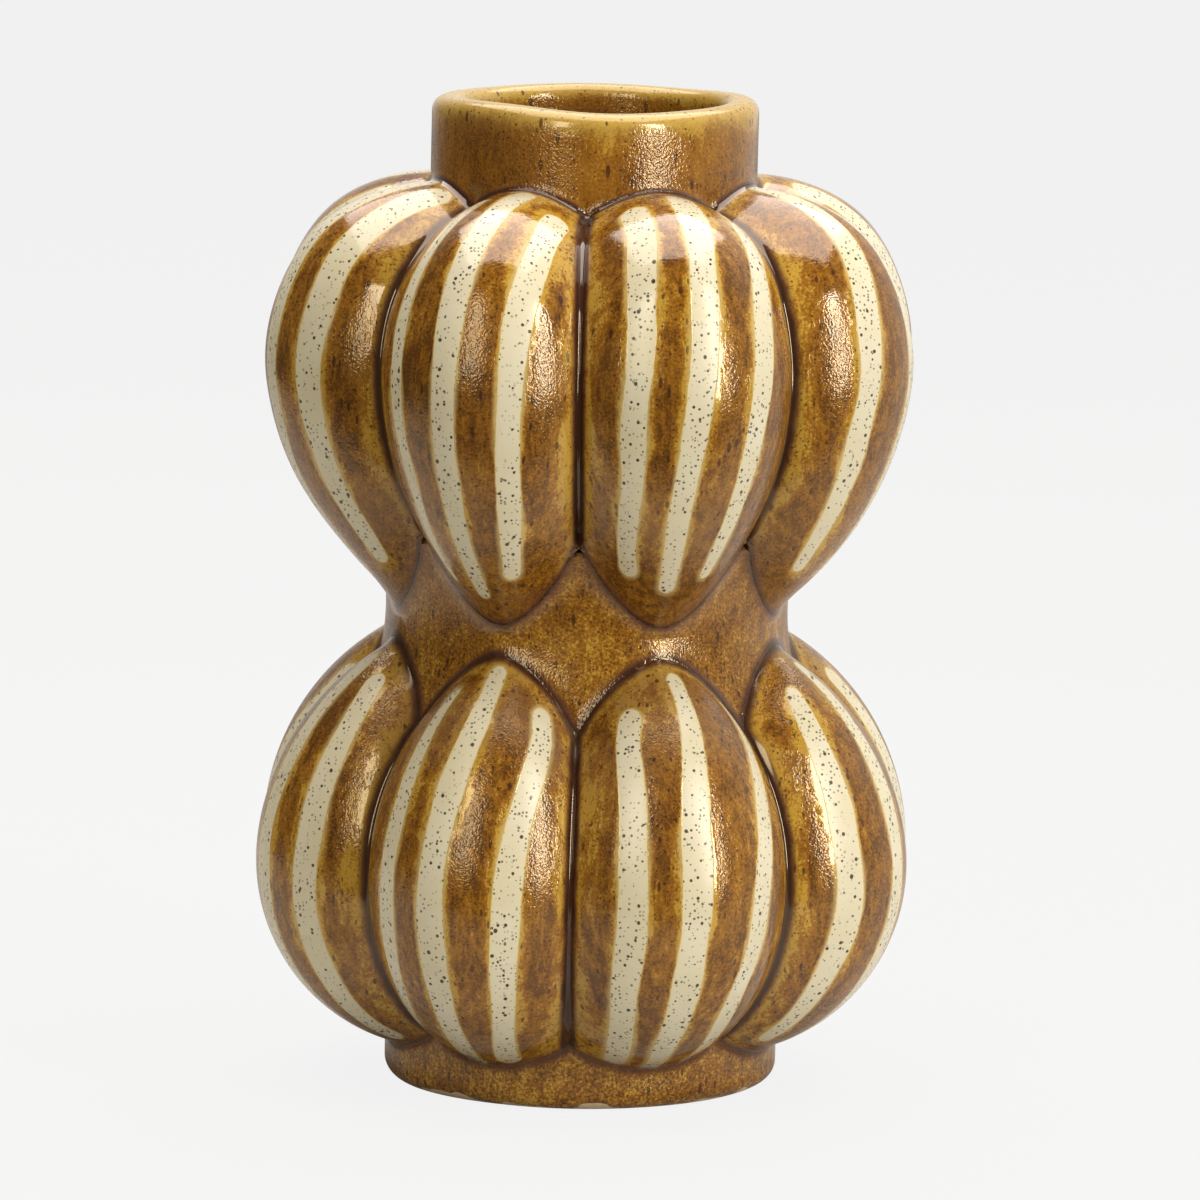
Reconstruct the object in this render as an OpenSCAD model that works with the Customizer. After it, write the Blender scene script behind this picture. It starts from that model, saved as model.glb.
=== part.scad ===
// Stoneware vase with two tiers of bulging lobes, a narrow waist, a collared mouth and a foot.
// The vase stands on the plane z = 0 with its axis on Z, and a crease between two lobes faces -Y.

/* [Body] */
// Height from the table to the top of the rim
vase_h = 240; // [215:1:270]
// Number of lobes round each tier
lobe_count = 8; // [7:1:9]
// Thickness of the clay on the crown of a lobe
lobe_wall = 7; // [5:0.5:9]
// Thickness of the clay behind the crease between two lobes
crease_wall = 9; // [6:0.5:11]

/* [Upper tier] */
// Radius of an upper lobe where it is fattest
upper_lobe_r = 29; // [27:0.5:31]
// Radius at which the middle line of an upper lobe turns in under the collar
upper_bend_r = 13; // [11:0.5:15]
// Distance from the axis of the vase to the centre of that turn
upper_turn_r = 40.5; // [38.5:0.5:42.5]
// Share of the height left between the tiers that the pointed ends of the upper lobes take
upper_tail_share = 0.5356; // [0.49:0.01:0.58]
// Lean of the pointed end in towards the waist, in degrees
upper_lean = 7.8; // [6:0.2:9.6]

/* [Lower tier] */
// Radius of a lower lobe where it is fattest
lower_lobe_r = 30; // [28:0.5:32]
// Radius at which the middle line of a lower lobe turns in over the foot
lower_bend_r = 17.5; // [15.5:0.5:19.5]
// Distance from the axis of the vase to the centre of that turn
lower_turn_r = 35.7; // [33:0.1:37]
// Lean of the pointed end in towards the waist, in degrees
lower_lean = 8.6; // [7:0.2:10]
// Height of the rounded ends of the lower lobes above the table
lower_rise = 9; // [7:0.5:12]

/* [Waist] */
// Diameter of the band at its narrowest
waist_d = 99; // [95:1:103]
// Radius of the hollow sweep of the band from tier to tier
waist_sweep_r = 53; // [45:1:70]
// Reach of the band up between the upper lobes
band_up = 21; // [18:0.5:24]
// Reach of the band down between the lower lobes
band_down = 27; // [23:0.5:30]
// Thickness of the band at its narrowest
band_wall = 7.5; // [5.5:0.5:9]
// Height between the pointed ends of the two tiers, which lie hidden in the band
tip_gap = 3.5; // [1:0.5:6]

/* [Neck] */
// Outer diameter of the collar
collar_d = 79.5; // [76:0.5:83]
// Thickness of the wall of the collar
collar_wall = 8.25; // [7:0.25:10]
// Height of the rim above the crowns of the upper lobes
collar_rise = 20.8; // [16:0.2:28]
// Radius of the rounded outer edge of the rim
rim_round = 3.6; // [2:0.2:4.4]
// Radius of the rounded inner edge of the rim
lip_round = 3; // [1.6:0.2:3.6]
// Depth of the collar below the crowns of the upper lobes
collar_seat = 8; // [6:0.5:10]

/* [Foot] */
// Outer diameter of the foot ring
foot_d = 96.5; // [93:0.5:100]
// Width of the foot ring
foot_w = 11; // [8:0.5:13]
// Height of the foot ring up inside the lobes
foot_h = 20; // [18:0.5:22]
// Radius of the rounded outer edge under the foot
foot_round = 3.2; // [1.6:0.2:5]
// Radius of the rounded inner edge under the foot
foot_ease = 1.2; // [0.6:0.2:2]
// Depth of the recess under the base
recess_h = 3.5; // [2:0.5:5]
// Thickness of the base at its middle
base_t = 8; // [6:0.5:10]

/* [Hidden] */
$fn = 128;

// Half the angle that one lobe takes up round the vase
half_step = 180 / lobe_count;
// How far the turn of a lobe is carried past the horizontal, so that it ends inside the vase
turn_sweep = 120;
// Radius of the eye left out at the middle of the turn, hidden in the hollow of the vase
eye_r = 2;
// How far the blank of the band reaches out past its narrowest, into the lobes
band_reach = 10;
// Radii of the arcs that draw the two bellies of the hollow
upper_cave_bow = 36;
lower_cave_bow = 46;
// Overrun of every cutting shape
over = 1;

collar_r = collar_d / 2;
mouth_r = collar_r - collar_wall;
foot_r = foot_d / 2;
foot_in_r = foot_r - foot_w;
floor_z = recess_h + base_t;
waist_r = waist_d / 2;
waist_bore_r = waist_r - band_wall;

// Heights of the crowns, of the fattest part of each tier and of the roots of the pointed ends
crown_z = vase_h - collar_rise;
upper_z = crown_z - upper_lobe_r - upper_bend_r;
lower_z = lower_rise + lower_bend_r + lower_lobe_r;
upper_root_z = upper_z - upper_bend_r * sin(upper_lean);
lower_root_z = lower_z + lower_bend_r * sin(lower_lean);

// The pointed ends share the height between those roots, less the gap between their tips
tails_h = upper_root_z - lower_root_z - tip_gap;
upper_tail_len = tails_h * upper_tail_share / cos(upper_lean);
lower_tail_len = tails_h * (1 - upper_tail_share) / cos(lower_lean);
waist_z = upper_root_z - upper_tail_len * cos(upper_lean);
band_top_z = waist_z + band_up;
band_low_z = waist_z - band_down;
collar_low_z = crown_z - collar_seat;

// Reach of everything from the axis, for the cutting shapes
reach = upper_turn_r + upper_bend_r + upper_lobe_r + lower_lobe_r;

// Radius of the crease between two lobes at their fattest
function crease_r(mid, r) = mid * cos(half_step) + sqrt(r * r - pow(mid * sin(half_step), 2));
upper_cave_r = crease_r(upper_turn_r + upper_bend_r, upper_lobe_r) - crease_wall;
lower_cave_r = crease_r(lower_turn_r + lower_bend_r, lower_lobe_r) - crease_wall;

// Depth past the middle line of a lobe of the centre of the arc that draws its pointed end
function tail_drop(r, tail) = (tail * tail - r * r) / (2 * r);
upper_drop = tail_drop(upper_lobe_r, upper_tail_len);
lower_drop = tail_drop(lower_lobe_r, lower_tail_len);

// Lengths of the hollow inside the pointed ends, which stop clear of the band
hollow_clear = 3;
upper_hollow_len = (upper_root_z - band_top_z - hollow_clear) / cos(upper_lean);
lower_hollow_len = (band_low_z - hollow_clear - lower_root_z) / cos(lower_lean);
upper_hollow_drop = tail_drop(upper_lobe_r - lobe_wall, upper_hollow_len);
lower_hollow_drop = tail_drop(lower_lobe_r - lobe_wall, lower_hollow_len);

lobe_names = [for (i = [1:lobe_count]) str("upper_lobe_", i)];
low_lobe_names = [for (i = [1:lobe_count]) str("lower_lobe_", i)];

glaze = "#8f5f1e";
glaze_dark = "#76491a";
bare_clay = "#c9b79a";

// A lobe round the centre of its turn: a fat tube that turns in at the top and runs down
// into a point. The axis of the vase lies on the -X side.
module lobe_form(r, bend, drop, lean, eye) {
    tail = sqrt(r * r + 2 * r * drop);
    rotate([0, lean, 0]) {
        rotate([90, 0, 0])
            rotate_extrude(angle = lean + turn_sweep)
                intersection() {
                    translate([bend, 0]) circle(r = r);
                    translate([eye, -r - over]) square([bend + r, 2 * (r + over)]);
                }
        translate([bend, 0, 0])
            rotate_extrude()
                intersection() {
                    translate([-drop, 0]) circle(r = r + drop);
                    translate([0, -tail - over]) square([r + over, tail + over]);
                }
    }
}

// Turns a shape that points along +X to the place of lobe number i, seen from the front
module lobe_place(i) {
    rotate([0, 0, (2 * i - 1) * half_step - 90]) children();
}

// The slice of the vase that one lobe fills, from crease to crease
module lobe_slice() {
    side = reach * tan(half_step);
    linear_extrude(height = vase_h)
        polygon([[0, 0], [reach, -side], [reach, side]]);
}

// Half section of one belly of the hollow: as wide as cave at height z
module belly_section(cave, bow, z) {
    intersection() {
        translate([cave - bow, z]) circle(r = bow);
        translate([0, z - 2 * bow]) square([cave + over, 4 * bow]);
    }
}

// Half section of the hollow that runs through the vase, from the floor to the mouth
module hollow_section() {
    belly_section(upper_cave_r, upper_cave_bow, upper_z);
    intersection() {
        union() {
            belly_section(lower_cave_r, lower_cave_bow, lower_z);
            square([lower_cave_r - lower_cave_bow, lower_z]);
        }
        translate([0, floor_z]) square([reach, vase_h]);
    }
    translate([0, lower_z]) square([waist_bore_r, upper_z - lower_z]);
    translate([0, upper_z]) square([mouth_r, vase_h + over - upper_z]);
}

module hollow() {
    rotate_extrude() hollow_section();
}

// Half section of the band on the outside, hollow in its sweep
module band_section() {
    difference() {
        translate([0, band_low_z]) square([waist_r + band_reach, band_top_z - band_low_z]);
        translate([waist_r + waist_sweep_r, waist_z]) circle(r = waist_sweep_r);
    }
}

// Everything that the lobes are fitted round: the hollow, the collar, the band and the foot.
// It is turned so that the seam of its round faces lies away from the lobe.
module core() {
    rotate([0, 0, 180])
        rotate_extrude() {
            hollow_section();
            translate([0, collar_low_z]) square([collar_r, vase_h + over - collar_low_z]);
            band_section();
            square([foot_r, foot_h]);
        }
}

// The collar with its rounded rim
module collar_form() {
    rotate_extrude()
        difference() {
            translate([mouth_r, collar_low_z])
                square([collar_r - mouth_r, vase_h - collar_low_z]);
            difference() {
                translate([collar_r - rim_round, vase_h - rim_round])
                    square([rim_round + over, rim_round + over]);
                translate([collar_r - rim_round, vase_h - rim_round]) circle(r = rim_round);
            }
            difference() {
                translate([mouth_r - over, vase_h - lip_round])
                    square([lip_round + over, lip_round + over]);
                translate([mouth_r + lip_round, vase_h - lip_round]) circle(r = lip_round);
            }
        }
}

// The foot ring, before the hollow of the vase is taken out of it
module foot_form() {
    rotate_extrude()
        difference() {
            translate([foot_in_r, 0]) square([foot_w, foot_h]);
            difference() {
                translate([foot_r - foot_round, -over])
                    square([foot_round + over, foot_round + over]);
                translate([foot_r - foot_round, foot_round]) circle(r = foot_round);
            }
            difference() {
                translate([foot_in_r - over, -over])
                    square([foot_ease + over, foot_ease + over]);
                translate([foot_in_r + foot_ease, foot_ease]) circle(r = foot_ease);
            }
        }
}

// The base, before the hollow of the vase is taken out of it
module base_form() {
    translate([0, 0, recess_h]) cylinder(r = foot_in_r, h = foot_h - recess_h);
}

module neck_collar() {
    color(glaze)
        difference() {
            collar_form();
            hollow();
        }
}

module waist_band() {
    color(glaze_dark)
        difference() {
            rotate_extrude() band_section();
            hollow();
        }
}

module foot_ring() {
    color(glaze_dark)
        difference() {
            foot_form();
            hollow();
        }
}

module base_disc() {
    color(bare_clay)
        difference() {
            base_form();
            hollow();
        }
}

module upper_lobe(i) {
    color(glaze)
        lobe_place(i)
            difference() {
                intersection() {
                    translate([upper_turn_r, 0, upper_z])
                        lobe_form(upper_lobe_r, upper_bend_r, upper_drop, upper_lean, eye_r);
                    lobe_slice();
                }
                core();
                translate([upper_turn_r, 0, upper_z])
                    lobe_form(upper_lobe_r - lobe_wall, upper_bend_r, upper_hollow_drop,
                        upper_lean, eye_r / 2);
            }
}

module lower_lobe(i) {
    color(glaze)
        lobe_place(i)
            difference() {
                intersection() {
                    translate([lower_turn_r, 0, lower_z]) mirror([0, 0, 1])
                        lobe_form(lower_lobe_r, lower_bend_r, lower_drop, lower_lean, eye_r);
                    lobe_slice();
                }
                core();
                translate([lower_turn_r, 0, lower_z]) mirror([0, 0, 1])
                    lobe_form(lower_lobe_r - lobe_wall, lower_bend_r, lower_hollow_drop,
                        lower_lean, eye_r / 2);
            }
}

neck_collar();
waist_band();
foot_ring();
base_disc();
for (i = [1:lobe_count])
    upper_lobe(i);
for (i = [1:lobe_count])
    lower_lobe(i);
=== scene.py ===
import math

import bmesh
import bpy
import numpy as np
from mathutils import Matrix, Vector


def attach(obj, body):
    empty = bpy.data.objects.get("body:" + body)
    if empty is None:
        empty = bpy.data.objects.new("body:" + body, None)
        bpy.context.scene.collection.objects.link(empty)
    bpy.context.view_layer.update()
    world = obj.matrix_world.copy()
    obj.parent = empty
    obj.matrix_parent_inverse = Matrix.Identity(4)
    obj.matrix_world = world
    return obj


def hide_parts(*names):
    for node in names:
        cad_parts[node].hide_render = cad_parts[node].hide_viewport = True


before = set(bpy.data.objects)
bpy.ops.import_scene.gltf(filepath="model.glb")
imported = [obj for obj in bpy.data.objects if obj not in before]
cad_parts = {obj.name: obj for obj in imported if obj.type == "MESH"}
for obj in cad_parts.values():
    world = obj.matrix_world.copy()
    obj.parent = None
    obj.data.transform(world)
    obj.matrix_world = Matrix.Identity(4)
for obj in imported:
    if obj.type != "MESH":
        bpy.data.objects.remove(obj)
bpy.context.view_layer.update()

MM = 0.001
LOBES = 8
STEP = 2 * math.pi / LOBES
HALF = STEP / 2
# Lobe 1 stands right of the front crease, which faces -Y
FIRST_LOBE = HALF - math.pi / 2


# --- Sizes of the vase ---

VASE_H = 240.0
COLLAR_R = 39.75
MOUTH_R = 31.5
FOOT_R = 48.25
FOOT_IN_R = 37.25
FOOT_H = 20.0
RECESS_H = 3.5
FLOOR_Z = 11.5
WAIST_R = 49.5
BORE_R = 42.0
SWEEP_R = 53.0
BAND_UP = 21.0
BAND_DOWN = 27.0
LOBE_WALL = 7.0
CREASE_WALL = 9.0


class Tier:
    """One tier of lobes: a fat tube that turns in at one end and runs into a point at the other."""

    def __init__(self, up, z, turn_r, bend, r, tail, lean):
        # Up is 1 where the fat end is on top, and -1 where it is below
        self.up = up
        self.z = z
        self.turn_r = turn_r
        self.bend = bend
        self.r = r
        self.tail = tail
        self.lean = math.radians(lean)
        self.drop = (tail * tail - r * r) / (2 * r)


LOWER_Z = 56.5
LOWER = Tier(-1, LOWER_Z, 35.7, 17.5, 30.0, 53.0, 8.6)
WAIST_Z = LOWER_Z + LOWER.bend * math.sin(LOWER.lean) + LOWER.tail * math.cos(LOWER.lean) + 3.5
UPPER_Z = 177.2
UPPER = Tier(1, UPPER_Z, 40.5, 13.0, 29.0, 61.0, 7.8)
BAND_TOP = WAIST_Z + BAND_UP
BAND_LOW = WAIST_Z - BAND_DOWN
COLLAR_LOW = UPPER_Z + UPPER.bend + UPPER.r - 8.0

# How softly the pieces run into each other, as the size of the fillet
CREASE_SOFT = 1.5
CREASE_SOFT_WAIST = 2.6
BAND_SOFT = 3.6
BAND_SOFT_ABOVE = 6.0
COLLAR_SOFT = 3.4
FOOT_SOFT = 2.6
# Depth and width of the line pressed into the clay where a lobe meets its neighbour or the band
LINE_DEPTH = 0.42
LINE_WIDTH = 1.5
EDGE_DEPTH = 0.22
EDGE_DEPTH_ABOVE = 0.08


# --- The shape as a distance: below zero inside the clay, above zero outside ---

def lobe_gap(x, y, z, t, wall=0.0):
    """Distance to the lobe whose middle plane is y = 0, or to one thinner by wall."""
    dx = x - t.turn_r
    dz = (z - t.z) * t.up
    c, s = math.cos(t.lean), math.sin(t.lean)
    lx = dx * c - dz * s
    lz = dx * s + dz * c
    r = t.r - wall
    tail = t.tail - 2.4 * wall
    drop = (tail * tail - r * r) / (2 * r)
    turn = np.hypot(np.hypot(lx, lz) - t.bend, y) - r
    down = np.hypot(np.hypot(lx - t.bend, y) + drop, np.minimum(lz, 0)) - (r + drop)
    return np.where(lz > 0, turn, down)


def blend(a, b, soft):
    """The smaller of two distances, rounded over where they are nearly the same."""
    h = np.maximum(soft - np.abs(a - b), 0) / soft
    return np.minimum(a, b) - h * h * soft / 4


def round_max(a, b, soft):
    """The larger of two distances, rounded in the same way."""
    return -blend(-a, -b, soft)


def band_gap(rho, z):
    sweep = SWEEP_R - np.hypot(rho - (WAIST_R + SWEEP_R), z - WAIST_Z)
    mid = WAIST_Z + (BAND_UP - BAND_DOWN) / 2
    ends = np.abs(z - mid) - (BAND_UP + BAND_DOWN) / 2 - 2
    return round_max(sweep, ends, 4.0)


def collar_gap(rho, z):
    return np.maximum(rho - COLLAR_R, UPPER_Z + 26 - z)


def foot_gap(rho, z):
    return np.maximum(rho - FOOT_R, z - FOOT_H)


def folded(x, y):
    """Radius, and the angle from the middle of the nearest lobe, with a lobe at angle zero."""
    angle = (np.arctan2(y, x) + HALF) % STEP - HALF
    return np.hypot(x, y), np.abs(angle)


def all_gaps(p):
    """Distances to the nearest lobe, the one beside it, the band, the collar and the foot."""
    x, y, z = p[:, 0], p[:, 1], p[:, 2]
    rho, a = folded(x, y)
    b = STEP - a
    above = z > WAIST_Z
    near_up = lobe_gap(rho * np.cos(a), rho * np.sin(a), z, UPPER)
    next_up = lobe_gap(rho * np.cos(b), rho * np.sin(b), z, UPPER)
    near_low = lobe_gap(rho * np.cos(a), rho * np.sin(a), z, LOWER)
    next_low = lobe_gap(rho * np.cos(b), rho * np.sin(b), z, LOWER)
    near = np.where(above, near_up, near_low)
    beside = np.where(above, next_up, next_low)
    return near, beside, band_gap(rho, z), collar_gap(rho, z), foot_gap(rho, z)


def vase_gap(p):
    """Distance to the outside of the whole vase, with its fillets and pressed lines."""
    near, beside, band, collar, foot = all_gaps(p)
    nearness = np.exp(-((p[:, 2] - WAIST_Z) / 24.0) ** 2)
    soft = CREASE_SOFT + (CREASE_SOFT_WAIST - CREASE_SOFT) * nearness
    lobes = blend(near, beside, soft)
    behind = np.maximum(np.minimum(near, beside) - band, 0)
    lobes = np.minimum(near, beside) + (lobes - np.minimum(near, beside)) * np.exp(-behind)
    above = 1 / (1 + np.exp(-(p[:, 2] - WAIST_Z) / 3.0))
    d = blend(lobes, band, BAND_SOFT + (BAND_SOFT_ABOVE - BAND_SOFT) * above)
    d = blend(d, collar, COLLAR_SOFT)
    d = blend(d, foot, FOOT_SOFT)
    crease = LINE_DEPTH * np.exp(-((near - beside) / LINE_WIDTH) ** 2) * np.exp(-behind * 1.5)
    edge = EDGE_DEPTH + (EDGE_DEPTH_ABOVE - EDGE_DEPTH) * above
    edge = edge * np.exp(-((lobes - band) / LINE_WIDTH) ** 2)
    reach = np.exp(-(np.minimum(lobes, band) / 3.0) ** 2)
    return d + np.maximum(crease, edge) * reach


def slope(f, p):
    """The slope of a distance at each point."""
    small = 0.02
    out = np.empty_like(p)
    for k in range(3):
        step = np.zeros(3)
        step[k] = small
        out[:, k] = (f(p + step) - f(p - step)) / (2 * small)
    return out


def settle(p, f, rounds=7):
    """Moves points along the slope of a distance until they lie on its surface."""
    p = p.copy()
    for _ in range(rounds):
        d = f(p)
        g = slope(f, p)
        size = np.maximum((g * g).sum(1), 0.2)
        p -= g * np.clip(d / size, -1.5, 1.5)[:, None]
    return p


def cave_gap(p):
    """Distance to the hollow inside the vase: below zero in the hollow."""
    x, y, z = p[:, 0], p[:, 1], p[:, 2]
    rho, a = folded(x, y)
    hollows = []
    for t, bow in ((UPPER, 36.0), (LOWER, 46.0)):
        mid = t.turn_r + t.bend
        crease = mid * math.cos(HALF) + math.sqrt(t.r ** 2 - (mid * math.sin(HALF)) ** 2)
        belly = np.hypot(rho - (crease - CREASE_WALL - bow), z - t.z) - bow
        if t is LOWER:
            belly = np.maximum(belly, FLOOR_Z - z)
        hollows.append(belly)
        hollows.append(lobe_gap(rho * np.cos(a), rho * np.sin(a), z, t, LOBE_WALL))
    hollows.append(np.maximum(rho - BORE_R, np.maximum(LOWER.z - z, z - UPPER.z)))
    hollows.append(np.maximum(rho - MOUTH_R, UPPER.z - z))
    return np.minimum.reduce(hollows)


def lobe_cave(p):
    """The hollow as the lobes see it: a little smaller where the band, collar or foot lines it."""
    z = p[:, 2]
    lined = ((z < BAND_TOP) & (z > BAND_LOW)) | (z > COLLAR_LOW) | (z < FOOT_H)
    return cave_gap(p) - np.where(lined, 1.5, 0.0)


# --- The hand of the potter: slow, small moves of the whole surface ---

def hand_made(p):
    x, y, z = p[:, 0], p[:, 1], p[:, 2]
    rho = np.hypot(x, y) + 1e-6
    a = np.arctan2(y, x)
    swell = np.sin(3 * a + 0.9) * 0.25 + np.sin(5 * a - z * 0.021 + 2.0) * 0.22
    swell = swell + np.sin(2 * a + z * 0.034) * 0.22 + np.sin(7 * a + z * 0.05 + 0.4) * 0.12
    swell = (swell - 0.8) * np.clip(rho / 60.0, 0, 1)
    # The upper lobes on the left draw in more towards the waist
    left = np.exp(-((np.abs(a) - math.pi) / 0.6) ** 2) * np.exp(-((z - 130) / 15) ** 2)
    swell = swell - 2.4 * left * np.clip((rho - 50) / 7, 0, 1)
    turn = np.sin(a * 2 + z * 0.03 + 1.3) * 0.22 + np.sin(a * 4 - z * 0.045) * 0.16
    # The front crease stands a little to the left
    turn = turn - 1.2 * np.exp(-((a + math.pi / 2) / 0.4) ** 2)
    # The next one leans to the right under the collar
    lean = np.exp(-((a + math.pi / 4) / 0.3) ** 2) * np.exp(-((z - 210) / 14) ** 2)
    turn = turn + 1.8 * lean
    turn = turn * np.clip((rho - 30) / 20, 0, 1)
    rise = np.sin(2 * a + 0.6) * 0.38 + np.sin(3 * a + 2.2) * 0.30 + np.sin(5 * a) * 0.12 - 0.80
    rise = rise * np.clip((z - 180) / 60, 0, 1)
    # The lobes of the upper tier reach up the collar, most of all the first one
    reach = 0.9 + 2.2 * np.exp(-((a - FIRST_LOBE - 0.1) / 0.40) ** 2)
    reach = reach + 1.5 * np.cos(LOBES * (a - FIRST_LOBE))
    rise = rise + reach * np.exp(-((z - 206) / 13) ** 2)
    out = np.empty_like(p)
    out[:, 0] = x + (x / rho) * swell - (y / rho) * turn
    out[:, 1] = y + (y / rho) * swell + (x / rho) * turn
    out[:, 2] = z + rise
    return out


# --- Meshes ---

def turned(p, angle):
    c, s = math.cos(angle), math.sin(angle)
    return np.stack([p[:, 0] * c - p[:, 1] * s, p[:, 0] * s + p[:, 1] * c, p[:, 2]], 1)


def coords(mesh):
    out = np.empty(len(mesh.vertices) * 3)
    mesh.vertices.foreach_get("co", out)
    return out.reshape(-1, 3)


def put(mesh, p):
    mesh.vertices.foreach_set("co", np.ascontiguousarray(p * MM, dtype=np.float32).ravel())
    mesh.update()


def mark(mesh, name, values):
    """Gives each vertex a value that the glaze reads."""
    layer = mesh.attributes.new(name, "FLOAT", "POINT")
    layer.data.foreach_set("value", np.ascontiguousarray(values, dtype=np.float32))


def shown(name, mesh, material, node_name, sharp=50):
    """Turns a finished mesh into a piece of the vase that stands for its CAD node."""
    mesh.materials.clear()
    mesh.materials.append(material)
    mesh.polygons.foreach_set("use_smooth", np.ones(len(mesh.polygons), bool))
    mesh.set_sharp_from_angle(angle=math.radians(sharp))
    piece = bpy.data.objects.new(name, mesh)
    bpy.context.scene.collection.objects.link(piece)
    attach(piece, "root")
    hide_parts(node_name)
    return piece


# --- Lobes ---

ROWS = 150
COLS = 92


def lobe_point(way, psi, t):
    """A point of a lobe: way runs down its crown, below zero round the turn; psi goes across."""
    phi = np.maximum(-way, 0) / (t.bend + t.r)
    down = np.maximum(way, 0)
    q = np.sqrt(np.maximum((t.r + t.drop) ** 2 - down ** 2, 0)) - t.drop
    lx = (t.bend + q * np.cos(psi)) * np.cos(phi)
    lz = (t.bend + q * np.cos(psi)) * np.sin(phi) - down
    c, s = math.cos(t.lean), math.sin(t.lean)
    x = t.turn_r + lx * c + lz * s
    z = t.z + t.up * (lz * c - lx * s)
    return np.stack([x, q * np.sin(psi), z], -1), q


def searched(low, high, holds, rounds=40):
    """The last value from low towards high at which a condition still holds, point by point."""
    low = low.copy()
    high = high.copy()
    for _ in range(rounds):
        mid = (low + high) / 2
        good = holds(mid)
        low = np.where(good, mid, low)
        high = np.where(good, high, mid)
    return low


def in_slice(way, psi, t):
    """Where a point is nearer to its own lobe than to the next one, and in front of the band."""
    p, _ = lobe_point(way, psi, t)
    inside = np.arctan2(p[:, 1], p[:, 0]) < HALF
    return inside & (band_gap(np.hypot(p[:, 0], p[:, 1]), p[:, 2]) > 0)


def lobe_blank(t):
    """A closed shell for one lobe of a tier, at angle zero, with the place of each vertex on it."""
    bm = bmesh.new()
    bmesh.ops.create_grid(bm, x_segments=COLS, y_segments=ROWS, size=0.5)
    bmesh.ops.solidify(bm, geom=bm.faces[:], thickness=0.1)
    bm.verts.ensure_lookup_table()
    flat = np.array([v.co[:] for v in bm.verts])
    outer = np.abs(flat[:, 2]) < 0.05
    across = flat[:, 0] * 2
    along = flat[:, 1] + 0.5
    # Columns are closest at the creases, rows at both ends
    v = 0.32 * across + 0.68 * np.sin(across * math.pi / 2)
    g = along - 0.6 * np.sin(2 * math.pi * along) / (2 * math.pi)

    start = -2.05 * (t.bend + t.r)
    zero = np.zeros(1)
    tip = searched(zero, zero + t.tail, lambda w: in_slice(w, w * 0, t))[0]
    ways = np.linspace(start, tip, 700)
    edge = searched(ways * 0, ways * 0 + 2.1, lambda psi: in_slice(ways, psi, t))

    def clear_of_end(way):
        p, _ = lobe_point(way, v * np.interp(way, ways, edge), t)
        rho = np.hypot(p[:, 0], p[:, 1])
        gap = collar_gap(rho, p[:, 2]) if t.up > 0 else foot_gap(rho, p[:, 2])
        return gap > 0

    top = searched(v * 0, v * 0 + start, clear_of_end)
    way = top + (tip - 0.03 - top) * g
    psi = v * np.interp(way, ways, edge)
    p, q = lobe_point(way, psi, t)
    p = settle(p, vase_gap)

    # The inner sheet lies where a line from the outer one towards the axis enters the hollow
    aim_z = np.clip(p[:, 2], 118, 196) if t.up > 0 else np.clip(p[:, 2], 42, 108)
    aim = np.stack([aim_z * 0, aim_z * 0, aim_z], 1) - p
    share = np.zeros(len(p))
    found = np.zeros(len(p), bool)
    for k in range(1, 90):
        trial = k / 90.0
        hit = lobe_cave(p + aim * trial) < 0
        share = np.where(hit & ~found, (k - 1) / 90.0, share)
        found |= hit
    share = searched(share, share + 1 / 90.0, lambda s: lobe_cave(p + aim * s[:, None]) > 0)
    p = np.where(outer[:, None], p, p + aim * share[:, None])

    for vert, co in zip(bm.verts, p):
        vert.co = co
    bmesh.ops.recalc_face_normals(bm, faces=bm.faces[:])
    mesh = bpy.data.meshes.new("lobe_blank")
    bm.to_mesh(mesh)
    bm.free()
    return mesh, p, outer, way, psi, q


class Stripe:
    """A stripe of slip: its two ends along the lobe, its width and the angles it passes through."""

    def __init__(self, start, stop, width, taper, angles):
        self.start = start
        self.stop = stop
        self.width = width
        self.taper = taper
        self.ways = (start, -40, -20, 0, 20, stop)
        self.angles = [math.radians(a) for a in angles]


# Ends are in millimetres from the fattest place, widths in millimetres and angles in degrees from
# the crown, taken at the start, 40 and 20 mm before the fattest place, there, 20 mm past it and
# at the stop
UPPER_STRIPES = {
    8: [Stripe(-64, 46, 5.2, 0.3, (-13, -30, -36, -36, -29, -36)),
        Stripe(-70, 50, 7.3, 0.6, (4, -1, -3, -3, -4, -4)),
        Stripe(-64, 44, 7.2, 0.9, (28, 31, 31, 30, 28, 30))],
    1: [Stripe(-63, 43, 6.8, 0.9, (-16, -26, -33, -37, -37, -46)),
        Stripe(-69, 47, 6.9, 0.8, (9, 1, -3, -7, -12, -13)),
        Stripe(-74, 43, 6.7, 0.4, (30, 33, 30, 26, 21, 18))],
    2: [Stripe(-72, 45, 7.4, 0.5, (2, -14, -25, -28, -29, -36)),
        Stripe(-70, 46, 7.0, 0.5, (10, 12, 14, 13, 11, 8)),
        Stripe(-70, 44, 6.6, 0.5, (24, 40, 45, 44, 42, 38))],
    7: [Stripe(-70, 46, 6.8, 0.5, (-14, -26, -30, -30, -30, -34)),
        Stripe(-72, 48, 7.0, 0.6, (2, -2, -3, -3, -2, 0)),
        Stripe(-71, 45, 8.2, 0.6, (19, 26, 30, 28, 30, 44))],
}
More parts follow.
